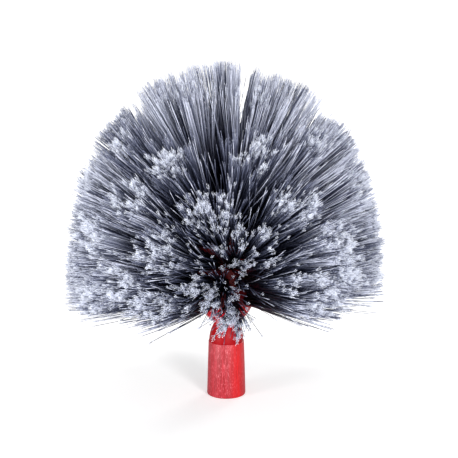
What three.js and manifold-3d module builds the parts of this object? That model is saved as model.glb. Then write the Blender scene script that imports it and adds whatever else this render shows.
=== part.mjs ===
// Cobweb brush head: a globe of bristle tufts set in a bulb-shaped block, on a socket for a pole.
// Millimetres, +Z up. The origin is the centre of the socket's mouth, and the front is the -Y side.

import * as THREE from 'three';
import { mergeVertices } from 'three/addons/utils/BufferGeometryUtils.js';
import Module from 'manifold-3d';

const wasm = await Module();
wasm.setup();

const { degToRad } = THREE.MathUtils;

// Fits and cuts
const seatClearance = 0.3;
const cutOverrun = 1;

// Pole socket: the sleeve that takes the pole, and the neck above it
const sleeveHeight = 43.5;
const mouthDiameter = 30;
const sleeveTopDiameter = 27.6;
const mouthRound = 1.2;
const shoulderStep = 0.5;
const neckHeight = 14.5;
const neckTopDiameter = 18;
const neckBaseShare = 0.97;
const neckWaistRadiusShare = 0.68;
const neckBaseRiseShare = 0.37;
const neckWaistRiseShare = 0.66;

// Bore for the pole, with its coarse inner thread
const poleBoreDiameter = 22.8;
const poleBoreDepth = 38;
const boreLeadIn = 1.1;
const threadPitch = 5;
const threadHeight = 1.2;
const threadRootWidth = 2.4;
const threadCrestWidth = 1;
const threadBite = 0.4;
const threadSetback = 6;
const threadTurns = 3;

// Stem that joins the block to the neck
const stemDiameter = 12;
const stemLength = 11.5;
const stemEndRoom = 0.5;

// Brush block
const blockDiameter = 46;
const undersideRise = 20;
const undersideBendRadiusShare = 0.57;
const undersideBendRiseShare = 0.25;
const wallSeatShare = 0.6;
const straightRise = 43;
const domeRise = 38;
const tuftedWall = 7;

// Tufts
const firstRowRise = 2;
const tuftsInRows = [10, 10, 10, 10, 10, 5, 1];
const rowsInLowerBand = 3;
const firstFanRise = degToRad(4);
const fanPower = 1.55;
const firstTuftAngle = degToRad(-78.6);
const tuftRootRadius = 2.6;
const sideFlare = degToRad(13);
const firstUpFlare = degToRad(8);
const lastUpFlare = degToRad(13);
const strandsInTuft = 6;
const innerStrandShare = 0.55;

// Bristle strands
const bristleLength = 100;
const strandDiameter = 1.2;
const strandTipShare = 0.7;
const strandSides = 3;
const strandBite = 2.5;
const trimUnevenShare = 0.05;
const trimStepShare = 0.618;

// Flat wire anchors
const anchorWidth = 6.4;
const anchorHeight = 2.2;
const anchorThickness = 0.5;
const anchorSlantShare = 0.1;

// Counts of facets
const roundFacets = 36;
const curveFacets = 5;
const domeFacets = 7;
const rimFacets = 2;

// Places worked out from the sizes
const neckTop = sleeveHeight + neckHeight;
const stemFloor = neckTop - stemLength - stemEndRoom;
const domeBase = neckTop + undersideRise + straightRise;
const firstRowHeight = neckTop + undersideRise + firstRowRise;
const blockRadius = blockDiameter / 2;
const boreRadius = blockRadius - tuftedWall;
const boreDomeRise = domeRise - tuftedWall;
const blockFacets = 2 * Math.max(...tuftsInRows);

const redPlastic = { color: 0xc4122a, roughness: 0.42, metalness: 0 };
const bristlePlastic = { color: 0x868b9a, roughness: 0.6, metalness: 0 };
const anchorSteel = { color: 0xb6babf, roughness: 0.35, metalness: 0.9 };

// Boolean helpers

function solidFrom(geometry) {
  const bare = geometry.clone();
  bare.deleteAttribute('normal');
  bare.deleteAttribute('uv');
  const merged = mergeVertices(bare);
  const corners = merged.index.array;
  const points = merged.attributes.position.array;
  const faces = [];
  for (let i = 0; i < corners.length; i += 3) {
    const face = [corners[i], corners[i + 1], corners[i + 2]];
    if (new Set(face).size === 3) faces.push(face);
  }
  const facesOut = signedVolume(faces, points) > 0;
  const triVerts = Uint32Array.from(faces.flatMap((face) => (facesOut ? face : face.toReversed())));
  return new wasm.Manifold(new wasm.Mesh({ numProp: 3, vertProperties: points, triVerts }));
}

function signedVolume(faces, points) {
  const at = (index) => new THREE.Vector3().fromArray(points, index * 3);
  return faces.reduce((sum, [a, b, c]) => sum + at(a).dot(at(b).cross(at(c))), 0);
}

function joined(solids) {
  return wasm.Manifold.union(solids);
}

function geometryFrom(solid) {
  const mesh = solid.getMesh();
  const geometry = new THREE.BufferGeometry();
  geometry.setAttribute('position', new THREE.BufferAttribute(Float32Array.from(mesh.vertProperties), 3));
  geometry.setIndex(Array.from(mesh.triVerts));
  const faceted = geometry.toNonIndexed();
  faceted.computeVertexNormals();
  return faceted;
}

function piece(name, geometry, finish) {
  const mesh = new THREE.Mesh(geometry, new THREE.MeshStandardMaterial(finish));
  mesh.name = name;
  return mesh;
}

// Skins a run of rings that have as many points each, and closes both ends
function skinned(rings) {
  const sides = rings[0].length;
  const last = rings.length - 1;
  const corner = (ring, side) => ring * sides + (side % sides);
  const faces = [];
  for (let ring = 0; ring < last; ring += 1) {
    for (let side = 0; side < sides; side += 1) {
      faces.push(corner(ring, side), corner(ring, side + 1), corner(ring + 1, side + 1));
      faces.push(corner(ring, side), corner(ring + 1, side + 1), corner(ring + 1, side));
    }
  }
  for (let side = 1; side < sides - 1; side += 1) {
    faces.push(corner(0, 0), corner(0, side + 1), corner(0, side));
    faces.push(corner(last, 0), corner(last, side), corner(last, side + 1));
  }
  return solidFrom(new THREE.BufferGeometry().setFromPoints(rings.flat()).setIndex(faces));
}

// A point at an angle round the brush's axis
function around(angle, radius, height) {
  return new THREE.Vector3(radius * Math.cos(angle), radius * Math.sin(angle), height);
}

// Round shapes: outlines are [radius, height] pairs in the order of the profile

function turned(outline, facets, edgeAngle) {
  const profile = outline.map(([radius, height]) => new THREE.Vector2(radius, height));
  const lathe = new THREE.LatheGeometry(profile, facets, edgeAngle + Math.PI / 2);
  return solidFrom(lathe.rotateX(Math.PI / 2));
}

// The block is turned with one flat facet under each place of a tuft
function turnedBlock(outline) {
  return turned(outline, blockFacets, firstTuftAngle + Math.PI / blockFacets);
}

function arcPoints(radius, height, round, from, to, facets) {
  return Array.from({ length: facets + 1 }, (_, step) => {
    const angle = from + ((to - from) * step) / facets;
    return [radius + round * Math.cos(angle), height + round * Math.sin(angle)];
  });
}

function curvePoints(curve, from, to, facets) {
  return Array.from({ length: facets + 1 }, (_, step) => {
    const share = from + ((to - from) * step) / facets;
    return curve.getPoint(share).toArray();
  });
}

function domePoints(radius, rise) {
  return Array.from({ length: domeFacets + 1 }, (_, step) => {
    const angle = ((Math.PI / 2) * step) / domeFacets;
    const onAxis = step === domeFacets;
    return [onAxis ? 0 : radius * Math.cos(angle), domeBase + rise * Math.sin(angle)];
  });
}

function neckCurve() {
  const base = sleeveTopDiameter / 2 - shoulderStep;
  const top = neckTopDiameter / 2;
  const between = (share) => top + (base - top) * share;
  return new THREE.CubicBezierCurve(
    new THREE.Vector2(base, sleeveHeight),
    new THREE.Vector2(between(neckBaseShare), sleeveHeight + neckHeight * neckBaseRiseShare),
    new THREE.Vector2(between(neckWaistRadiusShare), sleeveHeight + neckHeight * neckWaistRiseShare),
    new THREE.Vector2(top, neckTop),
  );
}

function undersideCurve() {
  const start = neckTopDiameter / 2;
  const bendRadius = start + (blockRadius - start) * undersideBendRadiusShare;
  return new THREE.QuadraticBezierCurve(
    new THREE.Vector2(start, neckTop),
    new THREE.Vector2(bendRadius, neckTop + undersideRise * undersideBendRiseShare),
    new THREE.Vector2(blockRadius, neckTop + undersideRise),
  );
}

// Pole socket

function poleThread() {
  const outer = poleBoreDiameter / 2 + threadBite;
  const inner = poleBoreDiameter / 2 - threadHeight;
  const section = [
    [outer, -threadRootWidth / 2],
    [outer, threadRootWidth / 2],
    [inner, threadCrestWidth / 2],
    [inner, -threadCrestWidth / 2],
  ];
  const steps = threadTurns * roundFacets;
  return skinned(Array.from({ length: steps + 1 }, (_, step) => {
    const angle = (2 * Math.PI * step) / roundFacets;
    const height = threadSetback + (threadPitch * step) / roundFacets;
    return section.map(([radius, offset]) => around(angle, radius, height + offset));
  }));
}

function poleSocket() {
  const mouth = mouthDiameter / 2;
  const bore = poleBoreDiameter / 2;
  const stemBore = stemDiameter / 2 + seatClearance;
  const body = turned([
    [0, poleBoreDepth],
    [bore, poleBoreDepth],
    [bore, boreLeadIn],
    [bore + boreLeadIn, 0],
    ...arcPoints(mouth - mouthRound, mouthRound, mouthRound, -Math.PI / 2, 0, rimFacets),
    [sleeveTopDiameter / 2, sleeveHeight - shoulderStep],
    ...curvePoints(neckCurve(), 0, 1, curveFacets),
    [stemBore, neckTop],
    [stemBore, stemFloor],
    [0, stemFloor],
  ], roundFacets, 0);
  return piece('pole_socket', geometryFrom(body.add(poleThread())), redPlastic);
}

// Brush block: a core with its stem, and a tufted wall in two bands round it

function blockCore() {
  const stem = stemDiameter / 2;
  const underside = curvePoints(undersideCurve(), 0, wallSeatShare, curveFacets);
  const [, seatHeight] = underside.at(-1);
  const coreRadius = boreRadius - seatClearance;
  const core = turnedBlock([
    [0, neckTop - stemLength],
    [stem, neckTop - stemLength],
    [stem, neckTop],
    ...underside,
    [coreRadius, seatHeight],
    ...domePoints(coreRadius, boreDomeRise - seatClearance),
  ]);
  return piece('block_core', geometryFrom(core), redPlastic);
}

// The line of tuft rows up the side of the block and over its dome, in [radius, height]
const rowLine = new THREE.Path()
  .moveTo(blockRadius, firstRowHeight)
  .lineTo(blockRadius, domeBase)
  .absellipse(0, domeBase, blockRadius, domeRise, 0, Math.PI / 2, false);

const rowPitch = rowLine.getLength() / (tuftsInRows.length - 1);
const bandSplit = firstRowHeight + rowPitch * (rowsInLowerBand - 0.5);

// Each tuft has its place on the block, the way its bristles fan out, and the way its wall is thick
function tuftsOfRow(row) {
  const count = tuftsInRows[row];
  const share = row / (tuftsInRows.length - 1);
  const place = rowLine.getPointAt(share);
  const uphill = rowLine.getTangentAt(share);
  const fanRise = firstFanRise + (Math.PI / 2 - firstFanRise) * share ** fanPower;
  const outShare = place.x / blockRadius;
  const upShare = Math.max(0, (place.y - domeBase) / domeRise);
  const stagger = row % 2 === 0 ? 0 : Math.PI / Math.max(...tuftsInRows);
  return Array.from({ length: count }, (_, turn) => {
    const angle = firstTuftAngle + stagger + (2 * Math.PI * turn) / count;
    return {
      row,
      root: around(angle, place.x, place.y),
      across: around(angle + Math.PI / 2, 1, 0),
      uphill: around(angle, uphill.x, uphill.y),
      fan: around(angle, Math.cos(fanRise), Math.sin(fanRise)),
      wallWay: around(angle, outShare, upShare).normalize(),
      upFlare: firstUpFlare + (lastUpFlare - firstUpFlare) * share,
    };
  });
}

const tufts = tuftsInRows.flatMap((_, row) => tuftsOfRow(row));

// A strand is a thin bar that narrows towards its tip and starts inside the wall
function strand(root, way, length) {
  const turn = new THREE.Quaternion().setFromUnitVectors(new THREE.Vector3(0, 0, 1), way);
  const ring = (radius, height) => Array.from({ length: strandSides }, (_, side) => (
    around((2 * Math.PI * side) / strandSides, radius, height).applyQuaternion(turn).add(root)
  ));
  const rootRadius = strandDiameter / 2;
  return skinned([ring(rootRadius, -strandBite), ring(rootRadius * strandTipShare, length)]);
}

// The outer strands of a tuft stand on a ring, and the inner ones on a smaller ring, one after another
function strandsOf(tuft, tuftNumber) {
  const fanUp = new THREE.Vector3().crossVectors(tuft.fan, tuft.across);
  return Array.from({ length: strandsInTuft }, (_, turn) => {
    const angle = (2 * Math.PI * turn) / strandsInTuft;
    const ringShare = turn % 2 === 0 ? 1 : innerStrandShare;
    const side = ringShare * Math.cos(angle);
    const up = ringShare * Math.sin(angle);
    const root = tuft.root
      .clone()
      .addScaledVector(tuft.across, tuftRootRadius * side)
      .addScaledVector(tuft.uphill, tuftRootRadius * up);
    const way = tuft.fan
      .clone()
      .addScaledVector(tuft.across, Math.tan(sideFlare) * side)
      .addScaledVector(fanUp, Math.tan(tuft.upFlare) * up)
      .normalize();
    const trimShare = ((tuftNumber * strandsInTuft + turn) * trimStepShare) % 1;
    return strand(root, way, bristleLength * (1 - trimUnevenShare * trimShare));
  });
}

// A frame whose X runs along the anchor's wire and whose Z points out of the block
function anchorFrame(tuft, wallDepth) {
  const foot = tuft.root.clone().addScaledVector(tuft.wallWay, wallDepth - tuftedWall);
  const thicknessWay = new THREE.Vector3().crossVectors(tuft.wallWay, tuft.across);
  return new THREE.Matrix4().makeBasis(tuft.across, thicknessWay, tuft.wallWay).setPosition(foot);
}

function anchorPocket(tuft) {
  const depth = cutOverrun + anchorHeight + 2 * seatClearance;
  const pocket = new THREE.BoxGeometry(
    anchorWidth + 2 * seatClearance,
    anchorThickness + 2 * seatClearance,
    depth,
  );
  pocket.translate(0, 0, depth / 2 - cutOverrun);
  return solidFrom(pocket.applyMatrix4(anchorFrame(tuft, 0)));
}

function tuftAnchor(tuft, number) {
  const half = anchorWidth / 2;
  const slant = anchorWidth * anchorSlantShare;
  const outline = new THREE.Shape([
    new THREE.Vector2(-half, 0),
    new THREE.Vector2(half - slant, 0),
    new THREE.Vector2(half, anchorHeight),
    new THREE.Vector2(slant - half, anchorHeight),
  ]);
  const wire = new THREE.ExtrudeGeometry(outline, { depth: anchorThickness, bevelEnabled: false });
  wire.translate(0, 0, -anchorThickness / 2);
  wire.rotateX(Math.PI / 2);
  wire.applyMatrix4(anchorFrame(tuft, seatClearance));
  return piece(`tuft_anchor_${String(number).padStart(2, '0')}`, wire, anchorSteel);
}

function tuftedBand(name, wall, bandTufts) {
  const strands = bandTufts.flatMap((tuft) => strandsOf(tuft, tufts.indexOf(tuft)));
  const pockets = joined(bandTufts.map(anchorPocket));
  return piece(name, geometryFrom(joined([wall.subtract(pockets), ...strands])), bristlePlastic);
}

function lowerBand() {
  const underside = curvePoints(undersideCurve(), wallSeatShare, 1, curveFacets);
  const [, seatHeight] = underside[0];
  const wall = turnedBlock([
    [boreRadius, bandSplit],
    [boreRadius, seatHeight],
    ...underside,
    [blockRadius, bandSplit],
    [boreRadius, bandSplit],
  ]);
  return tuftedBand('lower_bristle_band', wall, tufts.filter((tuft) => tuft.row < rowsInLowerBand));
}

function crownBand() {
  const wall = turnedBlock([
    ...domePoints(boreRadius, boreDomeRise).toReversed(),
    [boreRadius, bandSplit],
    [blockRadius, bandSplit],
    ...domePoints(blockRadius, domeRise),
  ]);
  return tuftedBand('bristle_crown', wall, tufts.filter((tuft) => tuft.row >= rowsInLowerBand));
}

const head = new THREE.Group();
head.add(poleSocket(), blockCore(), lowerBand(), crownBand());
head.add(...tufts.map((tuft, index) => tuftAnchor(tuft, index + 1)));

export default head;
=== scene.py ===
# Cobweb brush head: a globe of flagged bristle tufts in a red bulb-shaped block, on a socket for a pole.
# Metres, +Z up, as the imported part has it. The front is the -Y side.

import math

import bpy
import numpy as np
from mathutils import Matrix, Vector


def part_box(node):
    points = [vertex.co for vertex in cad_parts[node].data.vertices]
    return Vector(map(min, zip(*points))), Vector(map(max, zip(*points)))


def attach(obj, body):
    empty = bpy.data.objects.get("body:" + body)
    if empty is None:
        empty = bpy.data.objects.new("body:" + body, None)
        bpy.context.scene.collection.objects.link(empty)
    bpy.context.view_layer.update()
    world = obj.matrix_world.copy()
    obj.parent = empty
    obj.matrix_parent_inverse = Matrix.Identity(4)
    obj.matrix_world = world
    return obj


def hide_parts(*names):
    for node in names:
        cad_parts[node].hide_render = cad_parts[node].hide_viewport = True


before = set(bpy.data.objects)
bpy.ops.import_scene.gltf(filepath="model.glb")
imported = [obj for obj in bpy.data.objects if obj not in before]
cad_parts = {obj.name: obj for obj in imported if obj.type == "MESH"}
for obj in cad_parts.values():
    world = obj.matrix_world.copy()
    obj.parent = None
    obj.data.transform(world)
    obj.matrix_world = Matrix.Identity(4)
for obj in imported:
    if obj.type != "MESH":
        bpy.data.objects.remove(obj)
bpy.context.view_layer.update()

MM = 0.001
UP = Vector((0, 0, 1))

# Pole socket, from its mouth upwards
SOCKET_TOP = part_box("pole_socket")[1].z
SLEEVE_HEIGHT = 43.5 * MM
MOUTH_RADIUS = 15 * MM
SLEEVE_TOP_RADIUS = 13.8 * MM
MOUTH_ROUND = 1.2 * MM
SHOULDER_STEP = 0.5 * MM
SHOULDER_ROUND = 0.25 * MM
NECK_TOP_RADIUS = 9 * MM
# Control points of the neck's side, as shares of its swell and of its rise
NECK_BASE = (0.97, 0.37)
NECK_WAIST = (0.68, 0.66)
BORE_RADIUS = 11.4 * MM
BORE_DEPTH = 38 * MM
BORE_LEAD_IN = 1.1 * MM
STEM_RADIUS = 6 * MM
STEM_LENGTH = 11.5 * MM
STEM_FIT = 0.3 * MM
STEM_END_ROOM = 0.5 * MM

# A painted highlight down the sleeve's right: a band of brighter red, how far right of the axis its middle
# is, and how far from it it fades out
HIGHLIGHT_BAND = 9 * MM
HIGHLIGHT_WIDTH = 7 * MM

# Thread in the socket's bore
THREAD_START = 6 * MM
THREAD_PITCH = 5 * MM
THREAD_TURNS = 3
THREAD_HEIGHT = 1.2 * MM
THREAD_ROOT_HALF = 1.2 * MM
THREAD_CREST_HALF = 0.5 * MM
THREAD_BITE = 0.4 * MM

# Brush block
BLOCK_RADIUS = 23 * MM
UNDERSIDE_RISE = 20 * MM
UNDERSIDE_BEND = (0.57, 0.25)
STRAIGHT_RISE = 43 * MM
DOME_RISE = 38 * MM
DOME_TOP_SHARE = 0.04
SEAM_ROUND = 0.4 * MM
HOLE_RADIUS = 4.8 * MM
HOLE_DEPTH = 6.95 * MM
COUNTERSINK_DEPTH = 0.8 * MM
CUTTER_REACH = 3 * MM

# Tufts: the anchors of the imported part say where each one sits
TUFTS_IN_ROWS = (10, 10, 10, 10, 10, 5, 1)
ROWS_IN_LOWER_BAND = 3
ANCHOR_TO_SURFACE = 5.6 * MM
FIRST_FAN_RISE = math.radians(4)
FAN_POWER = 1.55
SIDE_FLARE = math.radians(17)
FIRST_UP_FLARE = math.radians(11)
LAST_UP_FLARE = math.radians(16)
TUFT_SEED = 3

# The picture's tufts are bent from the plain fan, row by row and a few one by one: degrees up and around
ROW_TILTS = (5, 1, -1, -3, -5, -3, 0)
BENT_TUFTS = {
    1: (-2, -12), 2: (3, -12), 3: (3, -6), 8: (-6, 0), 10: (3, -4), 11: (3, 3), 12: (2, -16), 13: (0, -5),
    21: (0, -5), 32: (0, 4), 40: (-3, 0), 41: (0, 2), 50: (-5, -4), 53: (0, -22), 56: (-7, 79),
}
# How full each row's tufts are, and a few tufts that are thinner, narrower or wider than the rest
ROW_FULLNESS = (1, 1, 1, 1, 0.88, 0.78, 0.78)
THIN_TUFTS = {1: 0.6, 11: 0.65, 21: 0.65}
WIDE_TUFTS = {1: 0.6, 11: 1.45, 21: 1.35}
# How much longer the tufts on the left are than those in the middle
LEFT_FULLNESS = 0.01

# The narrow parting at the top, right of the middle: its lean and half width as seen from the front, how
# far from its centre it opens and is fully open, and how its filaments are combed out of it
PARTING_LEAN = math.radians(9.3)
PARTING_HALF = math.radians(3.3)
PARTING_CENTRE = 155 * MM
PARTING_FOOT = 44 * MM
PARTING_TOP = 86 * MM
COMBED_SPREAD = 0.6
LEFT_IN_PARTING = 0.06

# Filaments in their tuft: most stay in clumps in its core, some fan out alone, and a few stray
FILAMENTS_IN_TUFT = 380
FILAMENTS_IN_CLUMP = 12
FILAMENT_RADIUS = 0.24 * MM
BRISTLE_LENGTH = 101.3 * MM
CORE_SHARE = 0.72
CORE_WIDTH = 0.66
CLUMP_JITTER = 0.04
STRAY_SHARE = 0.02
STRAY_WIDTH = 1.6
ROOT_DEPTH = 4 * MM
ROOT_SPREAD = 0.9
ROOT_JITTER = 0.3
# How far a filament still follows its hole where it comes out, and how unevenly it bends
HOLE_PULL = 0.35
BEND_JITTER = 1.2 * MM
# Uneven trim: clumps differ a little, single filaments fall short, and some are much shorter
CLUMP_TRIM = 0.014
FILAMENT_TRIM = 0.028
SHORT_SHARE = 0.08
SHORT_LENGTHS = (0.72, 0.97)

# The modelled filaments: one with a cut end, and some with a split end of flared hairs
SPLIT_FILAMENTS = 10
FILAMENT_SEED = 11
FILAMENT_CUTS = (0.3, 0.62)
CUT_END_LENGTH = 3.2 * MM
CUT_END_REACH = 0.2 * MM
HAIRS_IN_CUT_END = 2
FLAG_LENGTH = 7 * MM
FLAG_REACH = 1.5 * MM
HAIRS_IN_FLAG = 7
HAIR_RADIUS = 0.18 * MM
HAIR_FOOT = FILAMENT_RADIUS * 0.5
HAIR_BITE = 0.5 * MM
HAIR_TURN_JITTER = 0.3
HAIR_REACHES = (0.25, 1)
HAIR_LENGTHS = (0.7, 1.05)

# How pale a filament is, from 0 to 1. The light grey and the dark grey ones are plain, with cut ends. Then
# come dark ones with frosted split ends, and the palest, which are frosted from halfway up
LIGHT_GREY_SHARE = 0.2
GREY_SHARE = 0.5
PALE_FROM = 0.72
FROST_IN_MIDDLE = 0.65
SHADE_JITTER = 0.1
# What falls below 0 is spread over the light greys, and what falls above 1 over the palest
SPREAD_BELOW = 0.18
SPREAD_ABOVE = 0.85
# A tuft's greyest and palest filament, by how high it sits and which way it faces, and for a few alone. Tufts
# that face the side are paler than those that face the front: painted light, as from behind
LOWER_FRONT_SHADES = (0.02, 1.2)
UPPER_FRONT_SHADES = (0.2, 0.86)
LOWER_SIDE_SHADES = (-0.35, 1.6)
UPPER_SIDE_SHADES = (-0.4, 0.75)
# Partly painted light too: some of these few are paler or darker where more or less light falls on them
SHADES = {
    1: (0.35, 1.2), 2: (-0.2, 1.4), 11: (0.1, 1.05), 20: (0.25, 0.9), 21: (0.25, 0.9), 22: (-0.3, 1.5),
    42: (-0.5, 0.9), 48: (0, 0.8), 49: (0.12, 0.8),
}
# Where the change from side to front begins and how wide it is, and the same for low to high, in rows
FRONT_FROM = 0.25
FRONT_RANGE = 0.5
HIGH_FROM = 2
HIGH_RANGE = 1.5

# How finely round forms are cut
SEGMENTS = 112
CUTTER_SEGMENTS = 28
THREAD_STEPS = 48
MOUTH_STEPS = 7
SHOULDER_STEPS = 4
NECK_STEPS = 18
UNDERSIDE_STEPS = 12
DOME_STEPS = 16
MERGE_DISTANCE = 0.001 * MM

# The picture's view: the camera's place, the point it looks at, and how wide it sees
CAMERA_PLACE = Vector((2.1, -1072, 378)) * MM
CAMERA_TARGET = Vector((2.1, 0, 131.6)) * MM
CAMERA_FIELD = math.radians(18.04)


# Selecting and finishing pieces

def deselect_all():
    if bpy.context.object and bpy.context.object.mode == "EDIT":
        bpy.ops.object.mode_set(mode="OBJECT")
    bpy.ops.object.select_all(action="DESELECT")


def select_only(piece):
    deselect_all()
    piece.select_set(True)
    bpy.context.view_layer.objects.active = piece


def apply_modifier(piece, kind, **settings):
    select_only(piece)
    modifier = piece.modifiers.new(kind.lower(), kind)
    for setting, value in settings.items():
        setattr(modifier, setting, value)
    bpy.ops.object.modifier_apply(modifier=modifier.name)


def settle(piece, smooth_angle=math.radians(32)):
    """Puts the piece's place in its mesh, merges its doubles and turns its faces outwards."""
    select_only(piece)
    bpy.ops.object.transform_apply(location=True, rotation=True, scale=True)
    bpy.ops.object.mode_set(mode="EDIT")
    bpy.ops.mesh.select_all(action="SELECT")
    bpy.ops.mesh.remove_doubles(threshold=MERGE_DISTANCE)
    bpy.ops.mesh.normals_make_consistent(inside=False)
    bpy.ops.object.mode_set(mode="OBJECT")
    bpy.ops.object.shade_smooth_by_angle(angle=smooth_angle)


def joined(pieces, name):
    deselect_all()
    for piece in pieces:
        piece.select_set(True)
    bpy.context.view_layer.objects.active = pieces[0]
    bpy.ops.object.join()
    pieces[0].name = name
    return pieces[0]


# Round pieces are drawn up from a ring, from one (radius, height) of the outline to the next

def drawn_up(name, outline, segments=SEGMENTS):
    deselect_all()
    (radius, height), *rest = outline
    bpy.ops.mesh.primitive_circle_add(vertices=segments, radius=radius, location=(0, 0, height))
    piece = bpy.context.object
    piece.name = name
    bpy.ops.object.mode_set(mode="EDIT")
    bpy.ops.mesh.select_all(action="SELECT")
    for next_radius, next_height in rest:
        bpy.ops.mesh.extrude_region_move(TRANSFORM_OT_translate={"value": (0, 0, next_height - height)})
        widening = next_radius / radius
        bpy.ops.transform.resize(value=(widening, widening, 1), center_override=(0, 0, next_height))
        radius, height = next_radius, next_height
    return piece


def closed_at_top():
    """Draws the ring that is selected together to a pole on the axis."""
    bpy.ops.mesh.merge(type="CENTER")


def capped_below(piece, height):
    """Closes the lowest ring of the piece that is being edited."""
    bpy.ops.object.mode_set(mode="OBJECT")
    base = height - piece.location.z
    for vertex in piece.data.vertices:
        vertex.select = abs(vertex.co.z - base) < MERGE_DISTANCE
    bpy.ops.object.mode_set(mode="EDIT")
    bpy.ops.mesh.select_mode(type="VERT")
    bpy.ops.mesh.edge_face_add()


def arc(centre, round_radius, start, end, steps):
    radius, height = centre
    angles = [start + (end - start) * step / steps for step in range(steps + 1)]
    return [(radius + round_radius * math.cos(a), height + round_radius * math.sin(a)) for a in angles]


def bezier(points, steps):
    """Points along a Bezier curve through its first and last control points."""
    found = []
    for step in range(steps + 1):
        share, row = step / steps, [Vector(point) for point in points]
        while len(row) > 1:
            row = [a.lerp(b, share) for a, b in zip(row, row[1:])]
        found.append(tuple(row[0]))
    return found


# Finishes

def paint(red, green, blue):
    """A linear colour from the 0 to 255 numbers of a picture."""
    shares = [channel / 255 for channel in (red, green, blue)]
    linear = [s / 12.92 if s <= 0.04045 else ((s + 0.055) / 1.055) ** 2.4 for s in shares]
    return (*linear, 1)


def finish_named(name):
    material = bpy.data.materials.new(name)
    material.use_nodes = True
    return material, material.node_tree, material.node_tree.nodes["Principled BSDF"]


def add_node(tree, kind, inputs=None, **settings):
    node = tree.nodes.new(kind)
    for setting, value in settings.items():
        setattr(node, setting, value)
    for socket, value in (inputs or {}).items():
        if isinstance(value, bpy.types.NodeSocket):
            tree.links.new(value, node.inputs[socket])
        else:
            node.inputs[socket].default_value = value
    return node


def stretched(tree, place, stretch):
    return add_node(tree, "ShaderNodeMapping", {"Vector": place, "Scale": stretch}).outputs["Vector"]


def object_place(tree, stretch=(1, 1, 1)):
    coordinates = add_node(tree, "ShaderNodeTexCoord")
    return stretched(tree, coordinates.outputs["Object"], stretch)


def noise(tree, place, scale, detail=4, roughness=0.55):
    inputs = {"Vector": place, "Scale": scale, "Detail": detail, "Roughness": roughness}
    return add_node(tree, "ShaderNodeTexNoise", inputs).outputs["Fac"]


def ramp(tree, factor, stops):
    """A colour ramp: stops are (place, colour) pairs, and a plain number stands for a grey."""
    node = add_node(tree, "ShaderNodeValToRGB", {"Fac": factor})
    while len(node.color_ramp.elements) < len(stops):
        node.color_ramp.elements.new(1)
    for element, (place, colour) in zip(node.color_ramp.elements, stops):
        element.position = place
        element.color = colour if isinstance(colour, tuple) else (colour, colour, colour, 1)
    return node.outputs["Color"]


def mixed(tree, factor, first, second):
    node = add_node(tree, "ShaderNodeMix", data_type="RGBA")
    for socket, value in ((node.inputs[0], factor), (node.inputs[6], first), (node.inputs[7], second)):
        if isinstance(value, bpy.types.NodeSocket):
            tree.links.new(value, socket)
        else:
            socket.default_value = value
    return node.outputs[2]


def calculated(tree, operation, first, second=0.0):
    node = add_node(tree, "ShaderNodeMath", operation=operation)
    for socket, value in zip(node.inputs, (first, second)):
        if isinstance(value, bpy.types.NodeSocket):
            tree.links.new(value, socket)
        else:
            socket.default_value = value
    return node.outputs[0]


def bumped(tree, shader, height, strength, distance):
    inputs = {"Height": height, "Strength": strength, "Distance": distance}
    bump = add_node(tree, "ShaderNodeBump", inputs)
    tree.links.new(bump.outputs["Normal"], shader.inputs["Normal"])


def worn_edges(tree):
    """1 along the outer edges of a piece, where handling has paled them."""
    geometry = add_node(tree, "ShaderNodeNewGeometry")
    return ramp(tree, geometry.outputs["Pointiness"], [(0.52, 0.0), (0.6, 1.0)])


def glossy_red():
    """Moulded gloss plastic with painted light and shade: deep red up the neck, brighter under the block and
    darkest among the tufts.
    """
    material, tree, shader = finish_named("glossy_red_plastic")
    place = object_place(tree)
    height = add_node(tree, "ShaderNodeSeparateXYZ", {"Vector": place}).outputs["Z"]
    rise = add_node(tree, "ShaderNodeMapRange", {
        "Value": height, "From Min": SLEEVE_HEIGHT, "From Max": SOCKET_TOP + UNDERSIDE_RISE})
    # Painted shade and light by height: the neck deepened where the tufts shade it, the underside lit
    # brighter, and the block darkest among the tufts
    depth = ramp(tree, rise.outputs["Result"], [
        (0.3, paint(156, 4, 16)),
        (0.55, paint(204, 18, 35)),
        (0.75, paint(196, 12, 28)),
        (1.0, paint(54, 2, 6)),
    ])
    clouds = noise(tree, place, 45)
    colour = mixed(tree, ramp(tree, clouds, [(0.3, 0.0), (0.72, 0.35)]), depth, paint(120, 4, 12))
    colour = mixed(tree, calculated(tree, "MULTIPLY", worn_edges(tree), 0.08), colour, paint(222, 70, 78))
    tree.links.new(colour, shader.inputs["Base Color"])
    smears = noise(tree, place, 160, detail=3)
    tree.links.new(ramp(tree, smears, [(0.3, 0.32), (0.75, 0.5)]), shader.inputs["Roughness"])
    bumped(tree, shader, noise(tree, place, 420, detail=2), 0.12, 0.1 * MM)
    shader.inputs["IOR"].default_value = 1.5
    shader.inputs["Specular IOR Level"].default_value = 0.12
    return material


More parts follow.
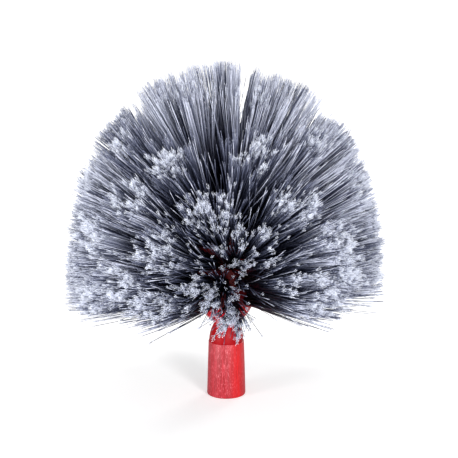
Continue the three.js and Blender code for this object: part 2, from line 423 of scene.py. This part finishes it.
def satin_red():
    """The sleeve's drawn surface: fine upright streaks in a paler red, with a painted highlight down its
    right.
    """
    material, tree, shader = finish_named("satin_red_plastic")
    upright = object_place(tree, (1, 1, 0.05))
    streaks = noise(tree, upright, 1100, detail=5, roughness=0.6)
    broad = noise(tree, upright, 190, detail=3)
    specks = noise(tree, object_place(tree, (1, 1, 0.4)), 1100, detail=3, roughness=0.7)
    colour = ramp(tree, streaks, [(0.38, paint(134, 7, 19)), (0.62, paint(176, 36, 50))])
    colour = mixed(tree, ramp(tree, broad, [(0.4, 0.0), (0.6, 0.4)]), colour, paint(184, 20, 34))
    colour = mixed(tree, ramp(tree, specks, [(0.53, 0.0), (0.66, 0.6)]), colour, paint(218, 108, 118))
    # Painted highlight: a brighter red band down the sleeve's right, broken up by the streaks
    across = add_node(tree, "ShaderNodeSeparateXYZ", {"Vector": object_place(tree)}).outputs["X"]
    painted_highlight = add_node(tree, "ShaderNodeMapRange", {
        "Value": calculated(tree, "ABSOLUTE", calculated(tree, "SUBTRACT", across, HIGHLIGHT_BAND)),
        "From Min": 0, "From Max": HIGHLIGHT_WIDTH, "To Min": 1, "To Max": 0})
    patches = ramp(tree, streaks, [(0.35, 0.45), (0.6, 1.0)])
    patchy_highlight = calculated(tree, "MULTIPLY", painted_highlight.outputs["Result"], patches)
    colour = mixed(tree, patchy_highlight, colour, paint(216, 10, 14))
    tree.links.new(colour, shader.inputs["Base Color"])
    tree.links.new(ramp(tree, streaks, [(0.3, 0.34), (0.75, 0.52)]), shader.inputs["Roughness"])
    bumped(tree, shader, streaks, 0.3, 0.12 * MM)
    shader.inputs["IOR"].default_value = 1.5
    return material


def anchor_steel():
    """Drawn flat wire: long scratches along it and dull cut ends."""
    material, tree, shader = finish_named("anchor_steel")
    grain = noise(tree, object_place(tree, (1, 1, 4)), 2600, detail=4)
    tree.links.new(ramp(tree, grain, [(0.3, paint(150, 154, 160)), (0.7, paint(196, 199, 204))]),
                   shader.inputs["Base Color"])
    tree.links.new(ramp(tree, grain, [(0.3, 0.24), (0.75, 0.44)]), shader.inputs["Roughness"])
    bumped(tree, shader, grain, 0.2, 0.02 * MM)
    shader.inputs["Metallic"].default_value = 1
    return material


# A filament's map runs from its root, at 0, to its tip, at 1, and its place across says how pale it is
FILAMENT_MAP = "OFBake"


def bristle_finish():
    """Plain grey filaments, dark ones that frost over at their split tips, and the palest ones."""
    material, tree, shader = finish_named("flagged_bristle")
    along_map = add_node(tree, "ShaderNodeUVMap", uv_map=FILAMENT_MAP)
    split = add_node(tree, "ShaderNodeSeparateXYZ", {"Vector": along_map.outputs["UV"]})
    shade, along = split.outputs["X"], split.outputs["Y"]
    grain = noise(tree, stretched(tree, along_map.outputs["UV"], (60, 7, 1)), 1, detail=3)
    frost_shift = calculated(tree, "MULTIPLY", calculated(tree, "SUBTRACT", grain, 0.5), 0.08)
    frosted = calculated(tree, "ADD", along, frost_shift)
    # Every ramp darkens towards the root: the dark navy there is partly the filaments' own colour and partly
    # painted shade deep in the packed tuft
    dark = ramp(tree, frosted, [
        (0.0, paint(20, 23, 36)),
        (0.4, paint(26, 29, 45)),
        (0.7, paint(46, 50, 70)),
        (0.895, paint(80, 85, 108)),
        (0.935, paint(208, 213, 230)),
        (1.0, paint(236, 240, 250)),
    ])
    pale = ramp(tree, frosted, [
        (0.0, paint(22, 25, 38)),
        (0.4, paint(34, 38, 58)),
        (0.65, paint(112, 118, 144)),
        (0.88, paint(186, 192, 214)),
        (1.0, paint(236, 240, 250)),
    ])
    grey = ramp(tree, frosted, [
        (0.0, paint(20, 23, 36)),
        (0.4, paint(28, 31, 47)),
        (0.7, paint(48, 52, 72)),
        (0.92, paint(74, 79, 101)),
        (1.0, paint(140, 145, 168)),
    ])
    light_grey = ramp(tree, frosted, [
        (0.0, paint(20, 23, 36)),
        (0.4, paint(54, 58, 78)),
        (0.7, paint(160, 165, 188)),
        (1.0, paint(218, 222, 238)),
    ])
    below, above = LIGHT_GREY_SHARE - 0.02, LIGHT_GREY_SHARE + 0.02
    grey = mixed(tree, ramp(tree, shade, [(below, 1.0), (above, 0.0)]), grey, light_grey)
    colour = mixed(tree, ramp(tree, shade, [(GREY_SHARE - 0.02, 1.0), (GREY_SHARE, 0.0)]), dark, grey)
    colour = mixed(tree, ramp(tree, shade, [(PALE_FROM, 0.0), (0.98, 1.0)]), colour, pale)
    strands = noise(tree, stretched(tree, along_map.outputs["UV"], (90, 0.6, 1)), 1, detail=1)
    outer = ramp(tree, along, [(0.55, 0.0), (0.9, 1.0)])
    lit = calculated(tree, "MULTIPLY", ramp(tree, strands, [(0.52, 0.0), (0.66, 0.7)]), outer)
    lit_shades = ramp(tree, shade, [(below, 1.0), (above, 0.1), (0.7, 0.1), (0.8, 1.0)])
    lit = calculated(tree, "MULTIPLY", lit, lit_shades)
    colour = mixed(tree, lit, colour, paint(206, 210, 228))
    shaft = ramp(tree, along, [(0.9, 1.0), (0.935, 0.0)])
    unlit = calculated(tree, "MULTIPLY", ramp(tree, strands, [(0.38, 0.65), (0.5, 0.0)]), shaft)
    colour = mixed(tree, unlit, colour, paint(24, 27, 42))
    tree.links.new(colour, shader.inputs["Base Color"])
    tree.links.new(ramp(tree, frosted, [(0.6, 0.36), (0.92, 0.75)]), shader.inputs["Roughness"])
    bumped(tree, shader, grain, 0.15, 0.02 * MM)
    shader.inputs["IOR"].default_value = 1.5
    shader.inputs["Specular IOR Level"].default_value = 0.25
    return material


# Pole socket

def neck_outline():
    """The neck's side, from the sleeve's shoulder up to the block's seat."""
    base = SLEEVE_TOP_RADIUS - SHOULDER_STEP
    rise = SOCKET_TOP - SLEEVE_HEIGHT
    swell = base - NECK_TOP_RADIUS
    curve = bezier([
        (base, SLEEVE_HEIGHT),
        (NECK_TOP_RADIUS + NECK_BASE[0] * swell, SLEEVE_HEIGHT + NECK_BASE[1] * rise),
        (NECK_TOP_RADIUS + NECK_WAIST[0] * swell, SLEEVE_HEIGHT + NECK_WAIST[1] * rise),
        (NECK_TOP_RADIUS, SOCKET_TOP),
    ], NECK_STEPS)
    edge = [(NECK_TOP_RADIUS, SOCKET_TOP - SEAM_ROUND), (NECK_TOP_RADIUS - SEAM_ROUND, SOCKET_TOP)]
    return curve[:-1] + edge


def socket_body():
    quarter = math.pi / 2
    shoulder = SLEEVE_HEIGHT - SHOULDER_STEP
    stem_bore = STEM_RADIUS + STEM_FIT
    stem_floor = SOCKET_TOP - STEM_LENGTH - STEM_END_ROOM
    outline = [
        *arc((MOUTH_RADIUS - MOUTH_ROUND, MOUTH_ROUND), MOUTH_ROUND, -quarter, 0, MOUTH_STEPS),
        *arc((SLEEVE_TOP_RADIUS - SHOULDER_ROUND, shoulder), SHOULDER_ROUND, 0, quarter, SHOULDER_STEPS),
        *neck_outline(),
        (stem_bore, SOCKET_TOP),
        (stem_bore, stem_floor),
    ]
    body = drawn_up("pole_sleeve", outline)
    bpy.ops.mesh.edge_face_add()
    bpy.ops.object.mode_set(mode="OBJECT")
    bore = drawn_up("pole_bore", [
        (MOUTH_RADIUS - MOUTH_ROUND, 0),
        (BORE_RADIUS + BORE_LEAD_IN, 0),
        (BORE_RADIUS, BORE_LEAD_IN),
        (BORE_RADIUS, BORE_DEPTH),
    ])
    bpy.ops.mesh.edge_face_add()
    return joined([body, bore], "pole_sleeve")


def pole_thread():
    """A coarse ridge that winds up the bore, from a plane drawn into its section."""
    deselect_all()
    bpy.ops.mesh.primitive_plane_add(size=1, location=(0, 0, 0))
    ridge = bpy.context.object
    outer, inner = BORE_RADIUS + THREAD_BITE, BORE_RADIUS - THREAD_HEIGHT
    corners = ((outer, -THREAD_ROOT_HALF), (outer, THREAD_ROOT_HALF),
               (inner, -THREAD_CREST_HALF), (inner, THREAD_CREST_HALF))
    for vertex, (radius, height) in zip(ridge.data.vertices, corners):
        vertex.co = (radius, 0, THREAD_START + height)
    apply_modifier(ridge, "SCREW", screw_offset=THREAD_PITCH, iterations=THREAD_TURNS, angle=2 * math.pi,
                   steps=THREAD_STEPS, render_steps=THREAD_STEPS, use_merge_vertices=True)
    settle(ridge)
    return ridge


def pole_socket(gloss, satin):
    body = socket_body()
    settle(body)
    ridge = pole_thread()
    apply_modifier(body, "BOOLEAN", operation="UNION", object=ridge, solver="EXACT")
    bpy.data.objects.remove(ridge)
    settle(body)
    body.data.materials.append(gloss)
    body.data.materials.append(satin)
    for face in body.data.polygons:
        face.material_index = int(face.center.z < SLEEVE_HEIGHT - SHOULDER_STEP / 2)
    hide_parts("pole_socket")
    return body


# Brush block

def block_body():
    swell = BLOCK_RADIUS - NECK_TOP_RADIUS
    underside = bezier([
        (NECK_TOP_RADIUS, SOCKET_TOP),
        (NECK_TOP_RADIUS + UNDERSIDE_BEND[0] * swell, SOCKET_TOP + UNDERSIDE_BEND[1] * UNDERSIDE_RISE),
        (BLOCK_RADIUS, SOCKET_TOP + UNDERSIDE_RISE),
    ], UNDERSIDE_STEPS)
    dome_base = SOCKET_TOP + UNDERSIDE_RISE + STRAIGHT_RISE
    angles = [math.pi / 2 * step / DOME_STEPS for step in range(DOME_STEPS)]
    dome = [(BLOCK_RADIUS * math.cos(a), dome_base + DOME_RISE * math.sin(a)) for a in angles]
    stem_end = SOCKET_TOP - STEM_LENGTH
    body = drawn_up("brush_block", [
        (STEM_RADIUS - SEAM_ROUND, stem_end),
        (STEM_RADIUS, stem_end + SEAM_ROUND),
        (STEM_RADIUS, SOCKET_TOP),
        (NECK_TOP_RADIUS - SEAM_ROUND, SOCKET_TOP),
        (NECK_TOP_RADIUS, SOCKET_TOP + SEAM_ROUND),
        *underside[2:],
        *dome,
        (BLOCK_RADIUS * DOME_TOP_SHARE, dome_base + DOME_RISE),
    ])
    closed_at_top()
    capped_below(body, stem_end)
    settle(body)
    return body


def hole_cutter():
    cutter = drawn_up("hole_cutter", [
        (HOLE_RADIUS, -HOLE_DEPTH),
        (HOLE_RADIUS, -COUNTERSINK_DEPTH),
        (HOLE_RADIUS + COUNTERSINK_DEPTH + CUTTER_REACH, CUTTER_REACH),
    ], segments=CUTTER_SEGMENTS)
    bpy.ops.mesh.edge_face_add()
    capped_below(cutter, -HOLE_DEPTH)
    settle(cutter)
    return cutter


def brush_block(tufts, gloss):
    body = block_body()
    first_cutter = hole_cutter()
    cutters = []
    for tuft in tufts:
        cutter = first_cutter.copy()
        cutter.data = first_cutter.data.copy()
        bpy.context.collection.objects.link(cutter)
        turned = tuft.wall_way.to_track_quat("Z", "Y").to_matrix().to_4x4()
        cutter.matrix_world = Matrix.Translation(tuft.root) @ turned
        cutters.append(cutter)
    bpy.data.objects.remove(first_cutter)
    holes = joined(cutters, "tuft_holes")
    apply_modifier(body, "BOOLEAN", operation="DIFFERENCE", object=holes, solver="EXACT")
    bpy.data.objects.remove(holes)
    settle(body)
    body.data.materials.append(gloss)
    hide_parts("block_core", "lower_bristle_band", "bristle_crown")
    return body


# Tufts

class Tuft:
    """A tuft's row, its anchor's place and wire, and the ways that its hole and its bristles run."""

    def __init__(self, number, row, anchor):
        corners = np.array([vertex.co for vertex in anchor.data.vertices], float)
        centre = corners.mean(0)
        seat = Vector(centre)
        thin_way = Vector(np.linalg.svd(corners - centre)[2][-1])
        out = Vector((seat.x, seat.y, 0))
        self.number = number
        self.row = row
        self.on_crown = out.length < MM
        self.out = thin_way.normalized() if self.on_crown else out.normalized()
        self.across = UP.cross(self.out)
        wall_way = thin_way.cross(self.across).normalized()
        self.wall_way = -wall_way if wall_way.dot(self.out + UP) < 0 else wall_way
        if self.on_crown:
            self.wall_way = UP.copy()
        self.root = seat + self.wall_way * ANCHOR_TO_SURFACE
        share = row / (len(TUFTS_IN_ROWS) - 1)
        rise = FIRST_FAN_RISE + (math.pi / 2 - FIRST_FAN_RISE) * share ** FAN_POWER
        tilt, turn = BENT_TUFTS.get(number, (0, 0))
        rise += math.radians(ROW_TILTS[row] + tilt)
        outwards = Matrix.Rotation(math.radians(turn), 3, "Z") @ self.out
        self.fan = outwards * math.cos(rise) + UP * math.sin(rise)
        self.fan_up = self.fan.cross(self.across).normalized()
        self.up_flare = FIRST_UP_FLARE + (LAST_UP_FLARE - FIRST_UP_FLARE) * share
        self.length = BRISTLE_LENGTH * (1 - LEFT_FULLNESS * self.fan.x)
        self.filaments = int(FILAMENTS_IN_TUFT * THIN_TUFTS.get(number, ROW_FULLNESS[row]))
        self.width = WIDE_TUFTS.get(number, 1)
        # Painted light: the more a tuft faces the side rather than the front, the paler its filaments
        frontness = min(max((-self.fan.y - FRONT_FROM) / FRONT_RANGE, 0), 1)
        height = min(max(row - HIGH_FROM, 0), HIGH_RANGE) / HIGH_RANGE
        self.shades = self.shades_of(frontness, height)

    def shades_of(self, frontness, height):
        """Its greyest and palest filament, from how far it faces the front and how high it sits, 0 to 1."""
        side = np.array(LOWER_SIDE_SHADES) * (1 - height) + np.array(UPPER_SIDE_SHADES) * height
        front = np.array(LOWER_FRONT_SHADES) * (1 - height) + np.array(UPPER_FRONT_SHADES) * height
        return SHADES.get(self.number, side * (1 - frontness) + front * frontness)


def read_tufts():
    rows = [row for row, count in enumerate(TUFTS_IN_ROWS) for _ in range(count)]
    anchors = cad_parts
    return [Tuft(number, row, anchors[f"tuft_anchor_{number:02d}"]) for number, row in enumerate(rows, 1)]


# Bristles: a few filaments are modelled, with cut or split ends, and the tufts hold bent copies of them

def modelled_hair(reach, turn, length, base_height, radii):
    """One hair of a filament's end: a thin cone that leans outwards, with its radii at foot and tip."""
    deselect_all()
    bpy.ops.mesh.primitive_cone_add(vertices=3, radius1=radii[0], radius2=radii[1], depth=length,
                                    location=(0, 0, base_height + length / 2))
    hair = bpy.context.object
    bpy.ops.object.transform_apply(location=True)
    lean = Vector((math.cos(turn), math.sin(turn), 0))
    for vertex in hair.data.vertices:
        share = (vertex.co.z - base_height) / length
        vertex.co += lean * (HAIR_FOOT + reach * share)
    return hair


def modelled_filament(draw, hairs_at_end, widest, end_length):
    """A straight filament along Z: a triangular bar with hairs at its end, widest at foot or tip by turns."""
    deselect_all()
    body_length = BRISTLE_LENGTH - end_length
    bpy.ops.mesh.primitive_cylinder_add(vertices=3, radius=FILAMENT_RADIUS, depth=body_length,
                                        location=(0, 0, body_length / 2))
    bar = bpy.context.object
    bpy.ops.object.transform_apply(location=True)
    bpy.ops.object.mode_set(mode="EDIT")
    for share in FILAMENT_CUTS:
        bpy.ops.mesh.select_all(action="SELECT")
        bpy.ops.mesh.bisect(plane_co=(0, 0, share * BRISTLE_LENGTH), plane_no=(0, 0, 1))
    bpy.ops.object.mode_set(mode="OBJECT")
    hairs = []
    for number in range(hairs_at_end):
        jitter = draw.uniform(-HAIR_TURN_JITTER, HAIR_TURN_JITTER)
        turn = 2 * math.pi * (number + jitter) / hairs_at_end
        reach = draw.uniform(*HAIR_REACHES) * widest
        length = end_length * draw.uniform(*HAIR_LENGTHS)
        radii = (HAIR_RADIUS, 0) if number % 2 == 0 else (0, HAIR_RADIUS)
        hairs.append(modelled_hair(reach, turn, length, body_length - HAIR_BITE, radii))
    filament = joined([bar, *hairs], "modelled_filament")
    mesh = filament.data
    places = np.array([vertex.co for vertex in mesh.vertices], float)
    faces = [tuple(face.vertices) for face in mesh.polygons]
    bpy.data.objects.remove(filament)
    return places, faces


def in_disc(count, draw):
    """Places spread evenly over a disc of radius 1."""
    radius, turn = np.sqrt(draw.uniform(0, 1, count)), draw.uniform(0, 2 * math.pi, count)
    return np.stack([radius * np.cos(turn), radius * np.sin(turn)], 1)


def gathered(count, draw):
    """Where each filament of a tuft points, as shares of the flare, with how long and how pale it is.

    Most stay in the tuft's core, in clumps that are cut and coloured alike, palest in the middle. The rest
    fan out one by one to the full flare, grey to the tip, and a few of them stray past it.
    """
    clumps = count // FILAMENTS_IN_CLUMP
    clump = draw.integers(0, clumps, count)
    spread = in_disc(clumps, draw)
    in_core = (spread * CORE_WIDTH)[clump] + draw.normal(0, CLUMP_JITTER, (count, 2))
    lot = draw.uniform(0, 1, (count, 1))
    reach = np.where(lot > 1 - STRAY_SHARE, STRAY_WIDTH, 1)
    clumped = lot < CORE_SHARE
    aim = np.where(clumped, in_core, in_disc(count, draw) * reach)
    length = draw.normal(1, CLUMP_TRIM, clumps)[clump] - draw.exponential(FILAMENT_TRIM, count)
    nearness = 1 - (spread ** 2).sum(1)
    frost = FROST_IN_MIDDLE * nearness + (1 - FROST_IN_MIDDLE) * draw.uniform(0, 1, clumps)
    shade = frost[clump] + draw.normal(0, SHADE_JITTER, count)
    shade = np.where(clumped[:, 0], shade, draw.uniform(0, GREY_SHARE, count))
    return aim, length[:, None], shade


def planted(tuft, draw):
    """A tuft's filaments: each centre line's root, middle control point and tip, and how pale it is."""
    count = tuft.filaments
    aim, length, shade = gathered(count, draw)
    aim *= tuft.width
    side, up = aim[:, :1], aim[:, 1:]
    axis, across, fan_up = (np.array(way) for way in (tuft.fan, tuft.across, tuft.fan_up))
    ways = axis + math.tan(SIDE_FLARE) * side * across + math.tan(tuft.up_flare) * up * fan_up
    ways /= np.linalg.norm(ways, axis=1, keepdims=True)
    wall_way = np.array(tuft.wall_way)
    hill = np.cross(wall_way, across)
    inside = np.clip(aim, -1, 1) * ROOT_SPREAD + draw.normal(0, ROOT_JITTER, (count, 2))
    reach = np.maximum(np.linalg.norm(inside, axis=1, keepdims=True), 1)
    inside = inside / reach * (HOLE_RADIUS - FILAMENT_RADIUS * 2)
    surface = np.array(tuft.root) + inside[:, :1] * across + inside[:, 1:] * hill
    roots = surface - wall_way * ROOT_DEPTH
    short = draw.uniform(0, 1, (count, 1)) < SHORT_SHARE
    length *= tuft.length * np.where(short, draw.uniform(*SHORT_LENGTHS, (count, 1)), 1)
    tips = surface + ways * length
    starts = HOLE_PULL * wall_way + (1 - HOLE_PULL) * ways
    starts /= np.linalg.norm(starts, axis=1, keepdims=True)
    middles = roots + starts * length / 2 + draw.normal(0, BEND_JITTER, (count, 3))
    greyest, palest = tuft.shades
    shade = greyest + (palest - greyest) * shade
    shade = np.where(shade < 0, draw.uniform(0, SPREAD_BELOW, count), shade)
    shade = np.where(shade > 1, draw.uniform(SPREAD_ABOVE, 1, count), shade)
    return (roots, middles, parted(tips, draw)), shade


def parted(tips, draw):
    """Combs the tips out of the parting, to the side that they are nearer, but leaves a few in it."""
    across, up = tips[:, 0], tips[:, 2] - PARTING_CENTRE
    reach = np.hypot(across, up)
    lean = np.arctan2(across, up) - PARTING_LEAN
    half = PARTING_HALF * np.clip((reach - PARTING_FOOT) / (PARTING_TOP - PARTING_FOOT), 0, 1)
    inside = (np.abs(lean) < half) & (draw.uniform(0, 1, len(tips)) > LEFT_IN_PARTING)
    combed = np.sign(lean) * (half + (half - np.abs(lean)) * COMBED_SPREAD)
    lean = np.where(inside, combed, lean) + PARTING_LEAN
    return np.stack([reach * np.sin(lean), tips[:, 1], PARTING_CENTRE + reach * np.cos(lean)], 1)


# A way that no filament runs along, which squares up their sections
ODD_WAY = np.array([0.31, 0.17, 0.93])


def bent_copies(filament, lines, rolls):
    """The modelled filament set along each centre line, as an array of places for every copy."""
    places, _ = filament
    roots, middles, tips = (line[:, None, :] for line in lines)
    share = (places[:, 2] / BRISTLE_LENGTH)[None, :, None]
    centres = (1 - share) ** 2 * roots + 2 * share * (1 - share) * middles + share ** 2 * tips
    ways = 2 * (1 - share) * (middles - roots) + 2 * share * (tips - middles)
    ways /= np.linalg.norm(ways, axis=2, keepdims=True)
    level = np.cross(ways, ODD_WAY)
    level /= np.linalg.norm(level, axis=2, keepdims=True)
    steep = np.cross(ways, level)
    cosine, sine = np.cos(rolls)[:, None], np.sin(rolls)[:, None]
    sideways = (places[:, 0] * cosine - places[:, 1] * sine)[:, :, None]
    upwards = (places[:, 0] * sine + places[:, 1] * cosine)[:, :, None]
    return centres + sideways * level + upwards * steep


def mesh_of(name, places, faces, maps):
    """A mesh from arrays of places and of corners, with a map place for each corner."""
    mesh = bpy.data.meshes.new(name)
    corners = np.concatenate([face.ravel() for face in faces])
    sizes = np.concatenate([np.full(len(face), face.shape[1]) for face in faces])
    mesh.vertices.add(len(places))
    mesh.vertices.foreach_set("co", places.astype(np.float32).ravel())
    mesh.loops.add(len(corners))
    mesh.loops.foreach_set("vertex_index", corners.astype(np.int32))
    mesh.polygons.add(len(sizes))
    mesh.polygons.foreach_set("loop_start", np.concatenate([[0], np.cumsum(sizes)[:-1]]).astype(np.int32))
    mesh.polygons.foreach_set("loop_total", sizes.astype(np.int32))
    layer = mesh.uv_layers.new(name=FILAMENT_MAP)
    layer.uv.foreach_set("vector", maps[corners].astype(np.float32).ravel())
    mesh.polygons.foreach_set("use_smooth", np.ones(len(sizes), bool))
    mesh.update()
    mesh.validate()
    return mesh


# How wide a filament's strip of the map is
STRIP_WIDTH = 0.012
STRIPS_END = 0.98


def filament_map(filament, shades):
    """A strip of the map for each copy: its shade across, and root to tip along."""
    places, _ = filament
    turn = np.arctan2(places[:, 1], places[:, 0])
    strip = STRIP_WIDTH * (1 + np.cos(turn)) / 2
    across = shades[:, None] * STRIPS_END + strip[None, :]
    along = np.broadcast_to(np.clip(places[:, 2] / BRISTLE_LENGTH, 0, 1), across.shape)
    return np.stack([across, along], 2)


def bristle_piece(name, tufts, filaments, material):
    """All the bristles of some tufts as one piece."""
    places, faces, maps, count = [], {}, [], 0
    for tuft in tufts:
        draw = np.random.default_rng((TUFT_SEED, tuft.number))
        lines, shades = planted(tuft, draw)
        kinds = np.where(shades < GREY_SHARE, 0, draw.integers(1, len(filaments), tuft.filaments))
        rolls = draw.uniform(0, 2 * math.pi, tuft.filaments)
        for kind, filament in enumerate(filaments):
            chosen = kinds == kind
            copies = bent_copies(filament, [line[chosen] for line in lines], rolls[chosen])
            number, points = copies.shape[:2]
            offsets = count + points * np.arange(number)[:, None, None]
            for size in (3, 4):
                pattern = np.array([face for face in filament[1] if len(face) == size])
                faces.setdefault(size, []).append((pattern[None] + offsets).reshape(-1, size))
            places.append(copies.reshape(-1, 3))
            maps.append(filament_map(filament, shades[chosen]).reshape(-1, 2))
            count += number * points
    corners = [np.concatenate(faces[size]) for size in (3, 4)]
    mesh = mesh_of(name, np.concatenate(places), corners, np.concatenate(maps))
    piece = bpy.data.objects.new(name, mesh)
    bpy.context.collection.objects.link(piece)
    piece.data.materials.append(material)
    return piece


def bristle_rows(tufts, material):
    draw = np.random.default_rng(FILAMENT_SEED)
    filaments = [modelled_filament(draw, HAIRS_IN_CUT_END, CUT_END_REACH, CUT_END_LENGTH)]
    for _ in range(SPLIT_FILAMENTS):
        filaments.append(modelled_filament(draw, HAIRS_IN_FLAG, FLAG_REACH, FLAG_LENGTH))
    pieces = []
    last = len(TUFTS_IN_ROWS) - 1
    for row in range(last + 1):
        name = "bristles_crown" if row == last else f"bristles_row_{row + 1}"
        in_row = [tuft for tuft in tufts if tuft.row == row]
        piece = bristle_piece(name, in_row, filaments, material)
        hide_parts("lower_bristle_band" if row < ROWS_IN_LOWER_BAND else "bristle_crown")
        pieces.append(piece)
    return pieces


# Stage, lights and camera

def floor_finish():
    """White to the camera with the brush's shadow on it, and a plain pale floor to everything else."""
    material, tree, shader = finish_named("pale_floor")
    shader.inputs["Base Color"].default_value = (0.75, 0.75, 0.75, 1)
    shader.inputs["Roughness"].default_value = 0.9
    shader.inputs["Specular IOR Level"].default_value = 0.1
    seen = add_node(tree, "ShaderNodeLightPath").outputs["Is Camera Ray"]
    distance = add_node(tree, "ShaderNodeVectorMath", {"Vector": object_place(tree)}, operation="LENGTH")
    far = add_node(tree, "ShaderNodeMapRange", {
        "Value": distance.outputs["Value"],
        "From Min": 0.1, "From Max": 0.5, "To Min": 0.48, "To Max": 0.85})
    brightness = calculated(tree, "MULTIPLY", seen, far.outputs["Result"])
    glow = add_node(tree, "ShaderNodeEmission", {"Strength": brightness})
    both = add_node(tree, "ShaderNodeAddShader")
    tree.links.new(shader.outputs["BSDF"], both.inputs[0])
    tree.links.new(glow.outputs["Emission"], both.inputs[1])
    tree.links.new(both.outputs["Shader"], tree.nodes["Material Output"].inputs["Surface"])
    return material


def pale_floor():
    deselect_all()
    bpy.ops.mesh.primitive_plane_add(size=40, location=(0, 0, 0))
    floor = bpy.context.object
    floor.name = "floor"
    floor.data.materials.append(floor_finish())


def soft_world():
    world = bpy.data.worlds.new("soft_world")
    bpy.context.scene.world = world
    world.use_nodes = True
    tree = world.node_tree
    seen = add_node(tree, "ShaderNodeLightPath").outputs["Is Camera Ray"]
    strength = calculated(tree, "ADD", calculated(tree, "MULTIPLY", seen, 0.6), 0.4)
    tree.nodes["Background"].inputs["Color"].default_value = (1, 1, 1, 1)
    tree.links.new(strength, tree.nodes["Background"].inputs["Strength"])


def soft_lamp(name, place, target, width, watts):
    lamp = bpy.data.lights.new(name, "AREA")
    lamp.shape, lamp.size, lamp.energy = "DISK", width, watts
    holder = bpy.data.objects.new(name, lamp)
    bpy.context.collection.objects.link(holder)
    holder.location = place
    holder.rotation_euler = (Vector(target) - Vector(place)).to_track_quat("-Z", "Y").to_euler()


def studio():
    middle = (0, 0, 0.14)
    soft_lamp("key_lamp", (0.7, -1.6, 0.6), middle, 0.5, 24)
    soft_lamp("fill_lamp", (-1.4, -1.1, 0.25), middle, 0.7, 25)
    soft_lamp("low_lamp", (0.12, -1.2, 0.05), (0, 0, 0.1), 0.25, 3.5)
    soft_lamp("top_lamp", (0.1, 0.3, 1.6), middle, 0.9, 6)
    soft_lamp("back_lamp", (0.8, 1.5, 0.5), middle, 0.7, 12)


def picture_camera():
    lens = bpy.data.cameras.new("picture_camera")
    lens.sensor_width = 36
    lens.lens = lens.sensor_width / 2 / math.tan(CAMERA_FIELD / 2)
    camera = bpy.data.objects.new("picture_camera", lens)
    bpy.context.collection.objects.link(camera)
    camera.location = CAMERA_PLACE
    camera.rotation_euler = (CAMERA_TARGET - CAMERA_PLACE).to_track_quat("-Z", "Y").to_euler()
    bpy.context.scene.camera = camera


# The brush

gloss, satin = glossy_red(), satin_red()
tufts = read_tufts()
socket = pole_socket(gloss, satin)
block = brush_block(tufts, gloss)
bristles = bristle_rows(tufts, bristle_finish())
for red_piece in (socket, block):
    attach(red_piece, "root")
for bristle_row in bristles:
    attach(bristle_row, "root")

wire = anchor_steel()
for name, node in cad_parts.items():
    if name.startswith("tuft_anchor"):
        node.data.materials.clear()
        node.data.materials.append(wire)

bpy.context.scene.view_settings.view_transform = "Standard"
pale_floor()
soft_world()
studio()
picture_camera()
